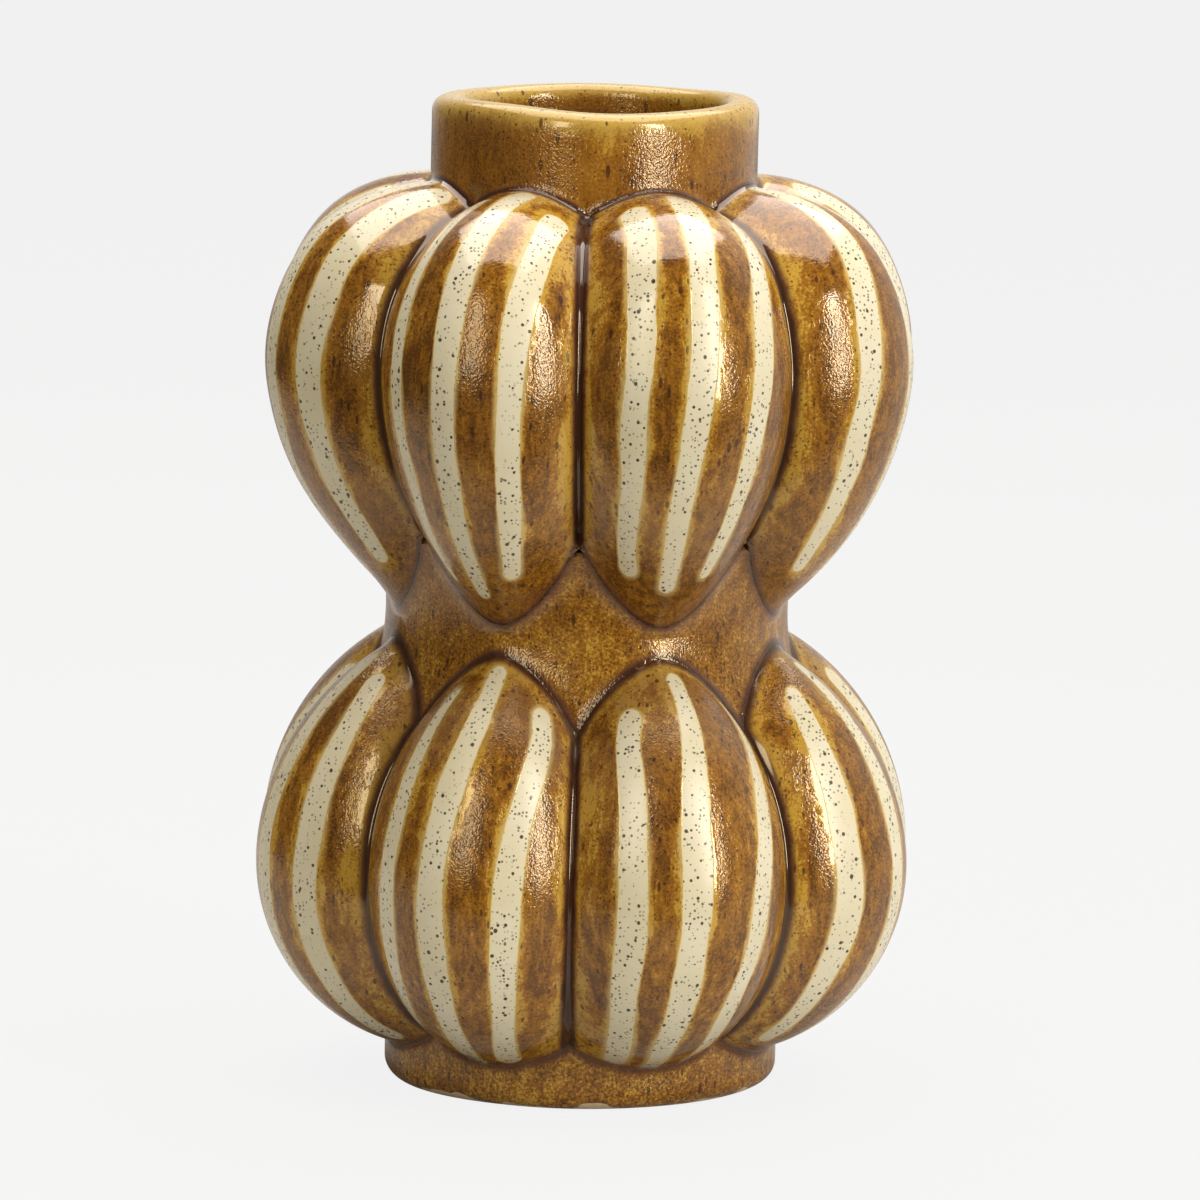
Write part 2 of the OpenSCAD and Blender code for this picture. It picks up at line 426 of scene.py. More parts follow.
LOWER_STRIPES = {
    8: [Stripe(-72, 42, 6.0, 0.3, (-32, -33, -35, -33, -29, -34)),
        Stripe(-71, 48, 7.4, 0.6, (-9, -5, -6, -5, -1, 10)),
        Stripe(-67, 39, 7.2, 0.8, (9, 24.5, 31.5, 32, 38, 60))],
    1: [Stripe(-68, 39, 7.0, 0.9, (-17, -30, -34, -33, -33, -42)),
        Stripe(-70, 47, 7.2, 0.5, (0, -6, -5, -4, -3, 8)),
        Stripe(-69, 40, 6.2, 0.3, (17, 20, 29, 33, 40, 66))],
    2: [Stripe(-62, 41, 7.8, 0.4, (-21, -32, -33, -34, -35, -39)),
        Stripe(-68, 46, 6.8, 0.5, (2, 3, 2, 1, 1, 3)),
        Stripe(-68, 42, 6.8, 0.5, (22, 30, 34, 35, 36, 38))],
    7: [Stripe(-68, 42, 6.8, 0.5, (-24, -32, -34, -34, -35, -40)),
        Stripe(-70, 46, 7.2, 0.6, (2, 1, 0, 0, 1, 4)),
        Stripe(-66, 42, 7.2, 0.8, (20, 28, 32, 33, 34, 40))],
}
DRAWN_LIKE = {3: 1, 4: 2, 5: 7, 6: 8}


def slip_edge(stripes, way, psi, q, t, seed):
    """Distance from the edge of the nearest stripe, below zero on the slip."""
    rng = np.random.default_rng(seed)
    best = np.full(len(way), 50.0)
    for s in stripes:
        # The angle between the stations runs smoothly
        line = sum(np.interp(way + step, s.ways, s.angles) for step in (-9, -6, -3, 0, 3, 6, 9)) / 7
        wave = rng.uniform(0, 6.28, 3)
        line = line + 0.005 * np.sin(way * 0.085 + wave[0]) + 0.004 * np.sin(way * 0.2 + wave[1])
        thick = s.width / 2 * (1 + 0.04 * np.sin(way * 0.13 + wave[2]))
        if t.up > 0:
            thick = thick * np.interp(way, (-20, 10, 50), (1.0, 0.86, 0.62))
        else:
            thick = thick * np.interp(way, (-60, -10, 20, 48), (0.85, 1.0, 0.95, 0.72))
        narrow = np.clip(np.minimum((way - s.start) / 42, (s.stop - way) / 34), 0, 1)
        thick = thick * (s.taper * 0.75 + 0.25 + (0.75 - s.taper * 0.75) * np.sqrt(narrow))
        side = np.abs(psi - line) * np.maximum(q, 1.0)
        # A stripe has round ends: past the last round the distance is measured to a circle
        past = np.maximum(np.maximum(s.start + thick - way, way - s.stop + thick), 0)
        best = np.minimum(best, np.hypot(side, past) - thick)
    return best


def glaze_pools(p):
    """Distance from the creases that thin the glaze beside them, and how dark they lie, as pooled
    glaze and painted shade.
    """
    near, beside, band, collar, foot = all_gaps(p)
    lobes = np.minimum(near, beside)
    above = p[:, 2] > WAIST_Z
    hidden = np.maximum(lobes - np.minimum(band, np.minimum(collar, foot)), 0)
    crease = np.abs(near - beside) / 1.45 + hidden * 3
    edge = np.abs(lobes - band) / 1.1
    rim = np.abs(lobes - collar) / 1.2
    tread = np.abs(lobes - foot) / 1.2
    pool = np.minimum(np.minimum(crease, rim), np.where(above, 30, edge))
    pool_and_shade = np.maximum(np.exp(-(crease / 1.55) ** 2), 0.85 * np.exp(-(rim / 1.5) ** 2))
    pool_and_shade = np.maximum(pool_and_shade, 0.6 * np.exp(-(tread / 1.9) ** 2))
    # Dark glaze and painted shade where the band meets the lobe tips, with a wide soft painted
    # shade above the waist
    tip = np.maximum(0.42 * np.exp(-(edge / 3.2) ** 2), 0.74 * np.exp(-(edge / 1.2) ** 2))
    band_edge_pool_and_shade = np.where(above, tip, 0.80 * np.exp(-(edge / 1.9) ** 2))
    return np.minimum(pool, 30), np.maximum(pool_and_shade, band_edge_pool_and_shade)


def make_lobes(t, family, stripes, material):
    blank, p, outer, way, psi, q = lobe_blank(t)
    pool, pool_and_shade = glaze_pools(p)
    # Inside the vase the glaze is plain, under an even painted shade
    pool = np.where(outer, pool, 30.0)
    pool_and_shade = np.where(outer, pool_and_shade, 0.3)
    along = np.where(outer, way, 0.0)
    for i in range(1, LOBES + 1):
        name = "%s_%d" % (family, i)
        mesh = blank.copy()
        mesh.name = name
        own = stripes[DRAWN_LIKE.get(i, i)]
        put(mesh, hand_made(turned(p, FIRST_LOBE + (i - 1) * STEP)))
        edge = slip_edge(own, way, psi, q, t, 40 + i + (0 if t.up > 0 else 20))
        mark(mesh, "slip_edge", np.where(outer, edge, 9.0))
        mark(mesh, "pool", pool)
        mark(mesh, "pool_and_shade", pool_and_shade)
        mark(mesh, "along", along)
        piece = shown(name + "_glazed", mesh, material, name)
    bpy.data.meshes.remove(blank)


# --- Turned pieces ---

TURN_STEPS = 480


def turned_mesh(name, profile, closed=True):
    """Spins a section, given as radius and height, through one slice and sets eight in a ring."""
    bm = bmesh.new()
    ring = [bm.verts.new((r, 0, z)) for r, z in profile]
    edges = [bm.edges.new((ring[k], ring[k + 1])) for k in range(len(ring) - 1)]
    if closed:
        edges.append(bm.edges.new((ring[-1], ring[0])))
    bmesh.ops.spin(bm, geom=ring + edges, cent=(0, 0, 0), axis=(0, 0, 1), dvec=(0, 0, 0),
                   angle=STEP, steps=TURN_STEPS // LOBES, use_merge=False, use_duplicate=False)
    for slices in (1, 2, 4):
        made = bmesh.ops.duplicate(bm, geom=bm.verts[:] + bm.edges[:] + bm.faces[:])
        moved = [part for part in made["geom"] if isinstance(part, bmesh.types.BMVert)]
        bmesh.ops.rotate(bm, verts=moved, cent=(0, 0, 0),
                         matrix=Matrix.Rotation(slices * STEP, 3, "Z"))
    bmesh.ops.remove_doubles(bm, verts=bm.verts[:], dist=1e-3)
    bmesh.ops.recalc_face_normals(bm, faces=bm.faces[:])
    mesh = bpy.data.meshes.new(name)
    bm.to_mesh(mesh)
    bm.free()
    return mesh


def stretch(start, stop, spacing):
    """Points from start up to, but not with, stop."""
    (r0, z0), (r1, z1) = start, stop
    n = max(1, int(round(math.hypot(r1 - r0, z1 - z0) / spacing)))
    return [(r0 + (r1 - r0) * k / n, z0 + (z1 - z0) * k / n) for k in range(n)]


def rounded(centre, r, a0, a1, n):
    return [(centre[0] + r * math.cos(math.radians(a0 + (a1 - a0) * k / n)),
             centre[1] + r * math.sin(math.radians(a0 + (a1 - a0) * k / n))) for k in range(n + 1)]


def own_gap(own):
    """Distance for one turned piece: the vase's, sunk where another piece is in front."""
    def gap(p):
        near, beside, band, collar, foot = all_gaps(p)
        mine = {"band": band, "collar": collar, "foot": foot}[own]
        others = np.minimum(near, beside)
        return vase_gap(p) + np.maximum(mine - others, 0)
    return gap


def make_turned(name, profile, material, own, moved):
    """A glazed turned piece, whose outside settles on the vase where moved holds."""
    mesh = turned_mesh(name, profile)
    p = coords(mesh)
    free = moved(p)
    p[free] = settle(p[free], own_gap(own))
    pool_and_shade = glaze_pools(p)[1]
    # The glaze is thin over the rim and lies even elsewhere; inside the mouth a painted shade
    # darkens it deeper down
    inside = (np.hypot(p[:, 0], p[:, 1]) < MOUTH_R + 1) & (p[:, 2] > WAIST_Z)
    pool = np.clip((VASE_H - 1.2 - p[:, 2]) * np.where(inside, 1.2, 0.55) + 2, 0, 30)
    pool_and_shade = np.where(inside, 0.42 * np.clip((237.0 - p[:, 2]) / 5, 0, 1), pool_and_shade)
    put(mesh, hand_made(turned(p, FIRST_LOBE)))
    mark(mesh, "slip_edge", np.full(len(p), 9.0))
    mark(mesh, "pool", pool)
    mark(mesh, "pool_and_shade", pool_and_shade)
    mark(mesh, "along", np.zeros(len(p)))
    mark(mesh, "bare", np.clip((2.6 - p[:, 2]) / 2.6, 0, 1))
    piece = shown(name + "_glazed", mesh, material, name)


def sweep_r(z):
    return WAIST_R + SWEEP_R - math.sqrt(SWEEP_R ** 2 - (z - WAIST_Z) ** 2)


def band_profile():
    n = 96
    outer = []
    for k in range(n + 1):
        z = BAND_LOW + (BAND_TOP - BAND_LOW) * k / n
        outer.append((sweep_r(z), z))
    top = stretch((sweep_r(BAND_TOP), BAND_TOP), (BORE_R, BAND_TOP), 2.0)[1:]
    inner = stretch((BORE_R, BAND_TOP), (BORE_R, BAND_LOW), 2.4)
    low = stretch((BORE_R, BAND_LOW), (sweep_r(BAND_LOW), BAND_LOW), 2.0)
    return outer + top + inner + low


RIM_ROUND = 3.6
LIP_ROUND = 3.0


def collar_profile():
    out = stretch((COLLAR_R, COLLAR_LOW - 5), (COLLAR_R, COLLAR_LOW + 15), 0.42)
    out += stretch((COLLAR_R, COLLAR_LOW + 15), (COLLAR_R, VASE_H - RIM_ROUND), 0.8)
    out += rounded((COLLAR_R - RIM_ROUND, VASE_H - RIM_ROUND), RIM_ROUND, 0, 90, 14)
    out += stretch((COLLAR_R - RIM_ROUND, VASE_H), (MOUTH_R + LIP_ROUND, VASE_H), 0.5)[1:]
    out += rounded((MOUTH_R + LIP_ROUND, VASE_H - LIP_ROUND), LIP_ROUND, 90, 180, 12)
    out += stretch((MOUTH_R, VASE_H - LIP_ROUND), (MOUTH_R, COLLAR_LOW + 2), 0.8)[1:]
    out += stretch((MOUTH_R, COLLAR_LOW + 2), (COLLAR_R - 3, COLLAR_LOW - 5), 1.0)
    out += stretch((COLLAR_R - 3, COLLAR_LOW - 5), (COLLAR_R, COLLAR_LOW - 5), 1.0)
    return out


FOOT_ROUND = 4.6
FOOT_EASE = 1.2


def foot_profile():
    out = rounded((FOOT_IN_R + FOOT_EASE, FOOT_EASE), FOOT_EASE, 180, 270, 5)
    out += stretch((FOOT_IN_R + FOOT_EASE, 0), (FOOT_R - FOOT_ROUND, 0), 0.9)[1:]
    out += rounded((FOOT_R - FOOT_ROUND, FOOT_ROUND), FOOT_ROUND, -90, 0, 12)
    out += stretch((FOOT_R, FOOT_ROUND), (FOOT_R, FOOT_H), 0.42)[1:]
    out += stretch((FOOT_R, FOOT_H), (43.8, FOOT_H), 1.2)
    out += stretch((43.8, FOOT_H), (FOOT_IN_R, FLOOR_Z + 3), 1.2)
    out += stretch((FOOT_IN_R, FLOOR_Z + 3), (FOOT_IN_R, FOOT_EASE), 1.2)
    return out


def base_profile():
    edge = FOOT_IN_R + 0.3
    out = [(0.0, RECESS_H)]
    out += stretch((0.8, RECESS_H), (edge - 1.5, RECESS_H), 1.2)
    out += rounded((edge - 1.5, RECESS_H - 1.5), 1.5, 90, 0, 5)
    out += stretch((edge, RECESS_H - 1.5), (edge, FLOOR_Z + 3), 1.2)[1:]
    out += stretch((edge, FLOOR_Z + 3), (30.5, FLOOR_Z + 0.6), 1.0)
    out += stretch((30.5, FLOOR_Z + 0.6), (27.0, FLOOR_Z), 1.0)
    out += stretch((27.0, FLOOR_Z), (0.0, FLOOR_Z), 1.5)
    out += [(0.0, FLOOR_Z)]
    return out


# --- Finishes ---

class Finish:
    """A small builder for a node material."""

    def __init__(self, name):
        self.material = bpy.data.materials.new(name)
        self.material.use_nodes = True
        self.tree = self.material.node_tree
        self.tree.nodes.clear()

    def node(self, kind, **sockets):
        made = self.tree.nodes.new(kind)
        for key, value in sockets.items():
            self.feed(made, key, value)
        return made

    def feed(self, made, key, value):
        socket = made.inputs[int(key[1:])] if key[0] == "i" and key[1:].isdigit() else None
        if socket is None:
            socket = made.inputs[key.replace("_", " ")]
        if isinstance(value, bpy.types.NodeSocket):
            self.tree.links.new(value, socket)
        else:
            socket.default_value = value

    def sum(self, operation, a, b, clamp=False):
        made = self.node("ShaderNodeMath", i0=a, i1=b)
        made.operation = operation
        made.use_clamp = clamp
        return made.outputs[0]

    def ramp(self, value, low, high, to_low=0.0, to_high=1.0, smooth=True):
        made = self.node("ShaderNodeMapRange", i0=value, i1=low, i2=high, i3=to_low, i4=to_high)
        made.interpolation_type = "SMOOTHSTEP" if smooth else "LINEAR"
        return made.outputs[0]

    def mix(self, share, a, b, blend_type="MIX"):
        made = self.tree.nodes.new("ShaderNodeMix")
        made.data_type = "RGBA"
        made.blend_type = blend_type
        for key, value in ((0, share), (6, a), (7, b)):
            self.feed(made, "i%d" % key, value)
        return made.outputs[2]

    def noise(self, place, scale, detail=2.0, rough=0.5, warp=0.0):
        made = self.node("ShaderNodeTexNoise", Vector=place, Scale=scale, Detail=detail,
                         Roughness=rough, Distortion=warp)
        return made.outputs["Fac"]

    def attribute(self, name):
        made = self.tree.nodes.new("ShaderNodeAttribute")
        made.attribute_name = name
        return made.outputs["Fac"]

    def place(self, scale=(1, 1, 1)):
        where = self.tree.nodes.new("ShaderNodeTexCoord").outputs["Object"]
        if scale == (1, 1, 1):
            return where
        return self.node("ShaderNodeMapping", Vector=where, Scale=scale).outputs[0]

    def specks(self, place, scale, size_low, size_high, share):
        """Round specks: one cell in so many holds one, each of its own size."""
        cells = self.node("ShaderNodeTexVoronoi", Vector=place, Scale=scale, Randomness=1.0)
        parts = self.node("ShaderNodeSeparateColor", Color=cells.outputs["Color"])
        size = self.ramp(parts.outputs[0], 1.0 - share, 1.0, size_low, size_high, False)
        size = self.sum("MULTIPLY", size, self.sum("GREATER_THAN", parts.outputs[0], 1.0 - share))
        depth = self.sum("SUBTRACT", size, cells.outputs["Distance"])
        return self.ramp(depth, 0.0, 0.045)

    def done(self, shader):
        out = self.tree.nodes.new("ShaderNodeOutputMaterial")
        self.tree.links.new(shader, out.inputs["Surface"])
        return self.material


HONEY = (0.47, 0.285, 0.042, 1)
AMBER = (0.258, 0.106, 0.009, 1)
BROWN = (0.100, 0.036, 0.004, 1)
UMBER = (0.030, 0.010, 0.007, 1)
MAUVE_SHEEN = (0.225, 0.115, 0.048, 1)
CREAM = (0.630, 0.578, 0.412, 1)
PALE = (0.670, 0.628, 0.485, 1)
LIME = (0.43, 0.325, 0.10, 1)
STRAW = (0.60, 0.48, 0.22, 1)
YOLK = (0.66, 0.56, 0.31, 1)
SPECK = (0.030, 0.017, 0.005, 1)
CREASE_BROWN = (0.098, 0.034, 0.020, 1)
CLAY = (0.58, 0.46, 0.32, 1)
DARK_CLAY = (0.47, 0.35, 0.23, 1)
# The colours in which light comes back from the glaze, the rim, the crowns and the slip
GOLD_SHINE = (0.86, 0.73, 0.52, 1)
RIM_SHINE = (0.77, 0.75, 0.64, 1)
CROWN_SHINE = (1.0, 0.90, 0.80, 1)
SLIP_SHINE = (0.54, 0.52, 0.48, 1)


def glaze_material(name, depth, streak, mottle, peel, thin, rim):
    """Amber glaze over clay, cream slip where slip_edge is below zero, pools and painted shade in
    the creases.

    depth is how deep the glaze lies away from the slip, streak and mottle how much it varies, peel
    how rough its skin is, thin how much it thins beside a crease and rim how matt the rim is.
    """
    m = Finish(name)
    place = m.place()
    edge = m.attribute("slip_edge")
    pool = m.attribute("pool")
    pool_and_shade = m.attribute("pool_and_shade")
    along = m.attribute("along")

    # The edges of the slip wander a little, as a brush leaves them
    wander = m.ramp(m.noise(place, 70, 1.0), 0.25, 0.75, -0.24, 0.24, False)
    fray = m.ramp(m.noise(place, 520, 2.0), 0.25, 0.75, -0.10, 0.10, False)
    edge = m.sum("ADD", edge, m.sum("ADD", wander, fray))
    slip = m.ramp(edge, 0.14, -0.18)
    # Here and there the slip thins out towards the amber
    soft = m.ramp(m.noise(place, 48, 1.0), 0.38, 0.66, 0.30, 1.7)
    veil = m.sum("MULTIPLY", m.ramp(m.sum("DIVIDE", edge, soft), 1.0, 0.0), 0.50)

    # Depth of the amber: thin beside the slip and the creases, deep between the stripes
    streaks = m.noise(m.place((1, 1, 0.22)), 560, 3.0, 0.65)
    clouds = m.noise(place, 46, 3.0, 0.55)
    grain = m.noise(place, 1500, 3.0, 0.7)
    blots = m.noise(m.place((1, 1, 0.6)), 300, 2.0, 0.6)
    honey_width = m.ramp(m.noise(m.place((1, 1, 0.5)), 62, 1.0), 0.38, 0.68, 0.6, 4.6)
    deep = m.sum("MULTIPLY", m.ramp(m.sum("DIVIDE", edge, honey_width), 0.0, 1.0), depth)
    deep = m.sum("ADD", deep, m.ramp(clouds, 0.30, 0.70, -0.20, 0.17))
    deep = m.sum("ADD", deep, m.ramp(streaks, 0.28, 0.72, -streak, streak))
    thin_width = m.ramp(m.noise(m.place((1, 1, 0.6)), 75, 1.0), 0.34, 0.68, 0.75, 1.3)
    shallow = m.ramp(m.sum("DIVIDE", pool, thin_width), 6.0, 2.0, 0.0, thin)
    deep = m.sum("SUBTRACT", deep, shallow, True)
    tone = m.sum("ADD", deep, m.ramp(grain, 0.25, 0.75, -mottle, mottle))
    tone = m.sum("ADD", tone, m.ramp(blots, 0.30, 0.70, -0.32 * mottle, 0.32 * mottle))
    warm = m.mix(m.ramp(tone, -0.08, 0.50), HONEY, AMBER)
    colour = m.mix(m.ramp(tone, 0.46, 1.12), warm, BROWN)
    # Painted reflection: a mauve sheen in patches, stronger past the fattest place of each lobe
    # towards its point
    low = m.ramp(along, 6.0, 38.0, 0.0, 0.42)
    sheen_patches = m.ramp(m.noise(place, 40, 2.0), 0.42, 0.66, 0.0, 1.0)
    colour = m.mix(m.sum("MULTIPLY", m.sum("ADD", low, 0.12), sheen_patches), colour, MAUVE_SHEEN)

    # The rim is thinly glazed and greener
    brink = m.ramp(pool, 5.5, 0.8, 0.0, rim)
    colour = m.mix(m.sum("MULTIPLY", brink, 1.9, True), colour, LIME)

    # Iron marks in the amber, drawn out a little along the lobes
    marks = m.specks(m.place((1, 1, 0.34)), 500, 0.10, 0.30, 0.52)
    dots = m.specks(place, 1000, 0.14, 0.36, 0.42)
    iron = m.sum("MAXIMUM", m.sum("MULTIPLY", marks, 0.75), m.sum("MULTIPLY", dots, 0.68))
    colour = m.mix(iron, colour, UMBER)
    colour = m.mix(m.sum("MULTIPLY", m.ramp(edge, 0.5, 0.1), 0.30), colour, LIME)
    colour = m.mix(veil, colour, STRAW)

    # The slip is a cool cream with fine and coarse specks, thicker in places
    cream = m.mix(m.ramp(m.noise(place, 70, 2.0), 0.35, 0.68, 0.0, 0.8), CREAM, PALE)
    yolk = m.mix(m.ramp(edge, -0.9, 0.0, 0.0, 0.55), cream, YOLK)
    fine = m.specks(place, 1100, 0.16, 0.42, 0.60)
    middle = m.specks(m.place((1.03, 0.97, 0.99)), 600, 0.14, 0.32, 0.55)
    coarse = m.specks(m.place((1.07, 0.93, 0.9)), 300, 0.10, 0.19, 0.70)
    many = m.ramp(m.noise(place, 90, 1.0), 0.36, 0.60, 0.35, 1.0)
    spots = m.sum("MAXIMUM", m.sum("MULTIPLY", m.sum("MULTIPLY", fine, 0.80), many),
                  m.sum("MULTIPLY", m.sum("MAXIMUM", middle, coarse), 0.95))
    slip_colour = m.mix(spots, yolk, SPECK)
    colour = m.mix(slip, colour, slip_colour)

    # Dark glaze and painted shade gather in the creases, round the lobe tips and inside the vase
    run_and_shade = m.sum("MULTIPLY", pool_and_shade, m.ramp(m.noise(place, 150, 2.0), 0.25, 0.75, 0.80, 1.15, False))
    colour = m.mix(m.ramp(run_and_shade, 0.12, 0.58, 0.0, 0.85), colour, CREASE_BROWN)
    colour = m.mix(m.ramp(run_and_shade, 0.42, 0.80, 0.0, 0.88), colour, UMBER)

    # Orange peel on the deep amber only: the slip, the thin glaze and the crowns are smooth
    on_amber = m.ramp(slip, 0.0, 1.0, 1.0, 0.05)
    leather = m.sum("MULTIPLY", m.ramp(deep, 0.10, 0.50, 0.16, 1.0), on_amber)
    leather = m.sum("MULTIPLY", leather, m.ramp(along, -36.0, -16.0, 0.22, 1.0))
    leather = m.sum("MULTIPLY", leather, m.ramp(pool, 1.0, 3.0, 0.1, 1.0))
    peaks = m.sum("MULTIPLY", m.noise(place, 2200, 0.0, 0.5), 0.072 * peel)
    dents = m.sum("MULTIPLY", m.noise(place, 1100, 0.0, 0.5), 0.055 * peel)
    height = m.sum("MULTIPLY", m.sum("ADD", peaks, dents), leather)
    height = m.sum("ADD", height, m.sum("MULTIPLY", slip, 0.05))
    height = m.sum("ADD", height, m.sum("MULTIPLY", m.noise(place, 260, 1.0), 0.035))
    bump = m.node("ShaderNodeBump", Strength=1.0, Distance=MM, Height=height)

    # The foot is wiped bare underneath, and here and there along its edge
    worn = m.ramp(m.noise(place, 85, 2.0), 0.30, 0.72, -0.95, 0.25)
    bare = m.sum("ADD", m.attribute("bare"), worn)
    bare = m.ramp(bare, 0.30, 0.42)
    colour = m.mix(bare, colour, CLAY)

    skin = m.node("ShaderNodeBsdfPrincipled", Base_Color=colour, Normal=bump.outputs[0])
    rough = m.ramp(leather, 0.0, 1.0, 0.07, 0.19, False)
    rough = m.sum("MAXIMUM", rough, m.ramp(along, -36.0, -16.0, 0.06, 0.12))
    rough = m.sum("MAXIMUM", rough, brink)
    soft_slip = m.sum("MULTIPLY", slip, m.ramp(along, -40.0, -20.0, 0.04, 0.20))
    rough = m.sum("MAXIMUM", m.sum("ADD", rough, soft_slip), m.sum("MULTIPLY", bare, 0.8))
    m.feed(skin, "Roughness", rough)
    skin.inputs["IOR"].default_value = 1.52
    skin.inputs["Specular IOR Level"].default_value = 0.92
    shine = m.mix(m.sum("MULTIPLY", brink, 4.0, True), GOLD_SHINE, RIM_SHINE)
    shine = m.mix(m.ramp(along, -38.0, -24.0, 1.0, 0.0), shine, CROWN_SHINE)
    m.feed(skin, "Specular_Tint", m.mix(slip, shine, SLIP_SHINE))
    return m.done(skin.outputs[0])


def clay_material(name):
    m = Finish(name)
    place = m.place()
    colour = m.mix(m.ramp(m.noise(place, 70, 3.0), 0.3, 0.7), CLAY, DARK_CLAY)
    spots = m.specks(place, 500, 0.10, 0.30, 0.25)
    colour = m.mix(m.sum("MULTIPLY", spots, 0.8), colour, SPECK)
    height = m.sum("MULTIPLY", m.noise(place, 900, 3.0, 0.7), 0.05)
    bump = m.node("ShaderNodeBump", Strength=1.0, Distance=MM, Height=height)
    skin = m.node("ShaderNodeBsdfPrincipled", Base_Color=colour, Normal=bump.outputs[0])
    skin.inputs["Roughness"].default_value = 0.8
    return m.done(skin.outputs[0])


# --- Build the vase ---

lobe_glaze = glaze_material("amber_glaze_with_slip", depth=0.78, streak=0.30, mottle=0.34,
                            peel=1.0, thin=0.68, rim=0.0)
collar_glaze = glaze_material("amber_glaze_collar", depth=0.68, streak=0.12, mottle=0.30,
                              peel=1.2, thin=0.70, rim=0.22)
band_glaze = glaze_material("amber_glaze_band", depth=0.60, streak=0.14, mottle=0.52,
                            peel=1.0, thin=0.0, rim=0.0)
foot_glaze = glaze_material("amber_glaze_foot", depth=0.60, streak=0.16, mottle=0.68,
                            peel=0.9, thin=0.0, rim=0.0)
bare_clay = clay_material("bare_stoneware")

make_lobes(UPPER, "upper_lobe", UPPER_STRIPES, lobe_glaze)
make_lobes(LOWER, "lower_lobe", LOWER_STRIPES, lobe_glaze)


def outside_band(p):
    rho = np.hypot(p[:, 0], p[:, 1])
    return (rho > 47) & (p[:, 2] > BAND_LOW + 0.2) & (p[:, 2] < BAND_TOP - 0.2)


def outside_collar(p):
    rho = np.hypot(p[:, 0], p[:, 1])
    return (rho > COLLAR_R - 0.1) & (p[:, 2] > COLLAR_LOW - 4.5) & (p[:, 2] < COLLAR_LOW + 15)


def outside_foot(p):
    rho = np.hypot(p[:, 0], p[:, 1])
    return (rho > FOOT_R - 0.1) & (p[:, 2] > FOOT_ROUND + 0.2) & (p[:, 2] < FOOT_H - 0.2)


make_turned("waist_band", band_profile(), band_glaze, "band", outside_band)
make_turned("neck_collar", collar_profile(), collar_glaze, "collar",
            outside_collar)
make_turned("foot_ring", foot_profile(), foot_glaze, "foot", outside_foot)

base = turned_mesh("base_disc", base_profile(), closed=False)
put(base, hand_made(turned(coords(base), FIRST_LOBE)))
shown("base_disc_clay", base, bare_clay, "base_disc")


# --- Floor, light and camera ---

def floor_material():
    m = Finish("pale_studio_floor")
    pale = m.node("ShaderNodeBsdfDiffuse", Color=(0.52, 0.52, 0.52, 1))
    plain = m.node("ShaderNodeEmission", Color=(0.93, 0.93, 0.93, 1), Strength=1.0)
    path = m.tree.nodes.new("ShaderNodeLightPath")
    share = m.sum("MULTIPLY", path.outputs["Is Camera Ray"], 0.93)
    both = m.node("ShaderNodeMixShader", i0=share, i1=pale.outputs[0], i2=plain.outputs[0])
    return m.done(both.outputs[0])


def make_floor():
    bm = bmesh.new()
    bmesh.ops.create_grid(bm, x_segments=1, y_segments=1, size=1.0)
    bmesh.ops.scale(bm, verts=bm.verts[:], vec=(0.6, 3.2, 1.0))
    bmesh.ops.translate(bm, verts=bm.verts[:], vec=(0, 3.0, -0.0003))
    mesh = bpy.data.meshes.new("studio_floor")
    bm.to_mesh(mesh)
    bm.free()
    mesh.materials.append(floor_material())
    floor = bpy.data.objects.new("studio_floor", mesh)
    bpy.context.scene.collection.objects.link(floor)


def soft_light(name, azimuth, elevation, distance, wide, tall, power, colour):
    """A rectangular soft box, placed by the direction it shines from and turned to the vase."""
    lamp = bpy.data.lights.new(name, "AREA")
    lamp.shape = "RECTANGLE"
    lamp.size = wide
    lamp.size_y = tall
    lamp.energy = power
    lamp.color = colour
    a = math.radians(azimuth)
    e = math.radians(elevation)
    way = Vector((math.sin(a) * math.cos(e), -math.cos(a) * math.cos(e), math.sin(e)))
    box = bpy.data.objects.new(name, lamp)
    box.location = Vector((0, 0, 0.13)) + way * distance
    box.rotation_euler = way.to_track_quat("Z", "Y").to_euler()
    bpy.context.scene.collection.objects.link(box)


DIM_FRONT = (0.12, 0.10, 0.065, 1)
WHITE_BACK = (0.84, 0.83, 0.79, 1)
BACKDROP = (0.914, 0.914, 0.914, 1)


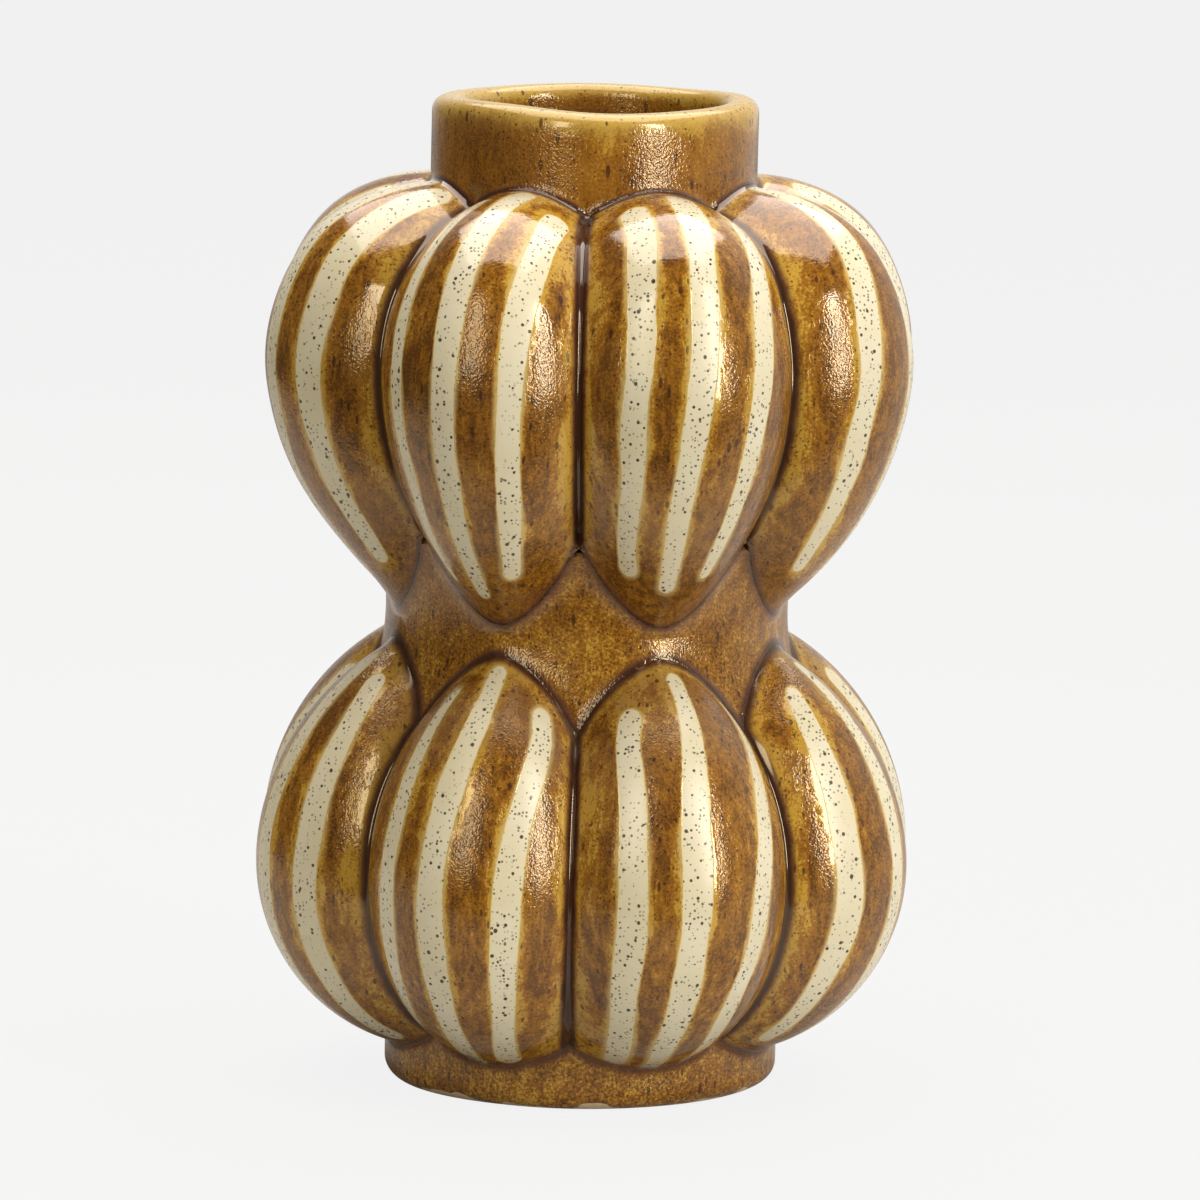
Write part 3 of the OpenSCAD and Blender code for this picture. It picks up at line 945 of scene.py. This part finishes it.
def make_world():
    world = bpy.data.worlds.new("studio")
    world.use_nodes = True
    bpy.context.scene.world = world
    tree = world.node_tree
    tree.nodes.clear()
    where = tree.nodes.new("ShaderNodeTexCoord")
    # The studio is white behind the vase and on its right, dim and warm in front and on its left
    slant = tree.nodes.new("ShaderNodeVectorMath")
    slant.operation = "DOT_PRODUCT"
    slant.inputs[1].default_value = (0.48, 0.70, 0.12)
    tree.links.new(where.outputs["Generated"], slant.inputs[0])
    behind = tree.nodes.new("ShaderNodeMapRange")
    behind.interpolation_type = "SMOOTHSTEP"
    tree.links.new(slant.outputs["Value"], behind.inputs[0])
    for key, value in ((1, 0.05), (2, 0.75), (3, 0.0), (4, 1.0)):
        behind.inputs[key].default_value = value
    path = tree.nodes.new("ShaderNodeLightPath")
    shade = tree.nodes.new("ShaderNodeMix")
    shade.data_type = "RGBA"
    tree.links.new(behind.outputs[0], shade.inputs[0])
    shade.inputs[6].default_value = DIM_FRONT
    shade.inputs[7].default_value = WHITE_BACK
    seen = tree.nodes.new("ShaderNodeMix")
    seen.data_type = "RGBA"
    tree.links.new(path.outputs["Is Camera Ray"], seen.inputs[0])
    tree.links.new(shade.outputs[2], seen.inputs[6])
    seen.inputs[7].default_value = BACKDROP
    glow = tree.nodes.new("ShaderNodeBackground")
    tree.links.new(seen.outputs[2], glow.inputs["Color"])
    glow.inputs["Strength"].default_value = 1.0
    out = tree.nodes.new("ShaderNodeOutputWorld")
    tree.links.new(glow.outputs[0], out.inputs["Surface"])


CAMERA_AWAY = 2.366
CAMERA_UP = 0.46515


def make_camera():
    """The photo's viewpoint: far off, a little above, a degree round and a degree rolled."""
    turn = math.radians(1.0)
    roll = math.radians(1.033)
    place = Vector((math.sin(turn) * CAMERA_AWAY, -math.cos(turn) * CAMERA_AWAY, CAMERA_UP))
    target = Vector((0, 0, VASE_H / 2 * MM))
    ahead = (target - place).normalized()
    right = ahead.cross(Vector((0, 0, 1))).normalized()
    up = right.cross(ahead)
    side = right * math.cos(roll) + up * math.sin(roll)
    top = up * math.cos(roll) - right * math.sin(roll)
    # The vase stands a little left of and above the middle of the picture
    aim = target + side * 0.00323 - top * 0.00307
    ahead = (aim - place).normalized()
    side = ahead.cross(top).normalized()
    top = side.cross(ahead)
    data = bpy.data.cameras.new("camera")
    data.sensor_width = 36.0
    data.lens = 296.0
    data.clip_start = 0.1
    data.clip_end = 50.0
    camera = bpy.data.objects.new("camera", data)
    axes = Matrix((side, top, -ahead)).transposed().to_4x4()
    camera.matrix_world = Matrix.Translation(place) @ axes
    bpy.context.scene.collection.objects.link(camera)
    bpy.context.scene.camera = camera


make_floor()
make_world()
soft_light("top_box", 180, 77, 1.0, 1.2, 1.25, 18.0, (1.0, 0.93, 0.88))
soft_light("right_box", 48, 17, 1.1, 0.17, 0.95, 10.4, (1.0, 0.95, 0.87))
soft_light("left_box", -24, 24, 1.4, 0.30, 1.00, 6.6, (1.0, 0.93, 0.78))
make_camera()
bpy.context.scene.view_settings.view_transform = "Standard"
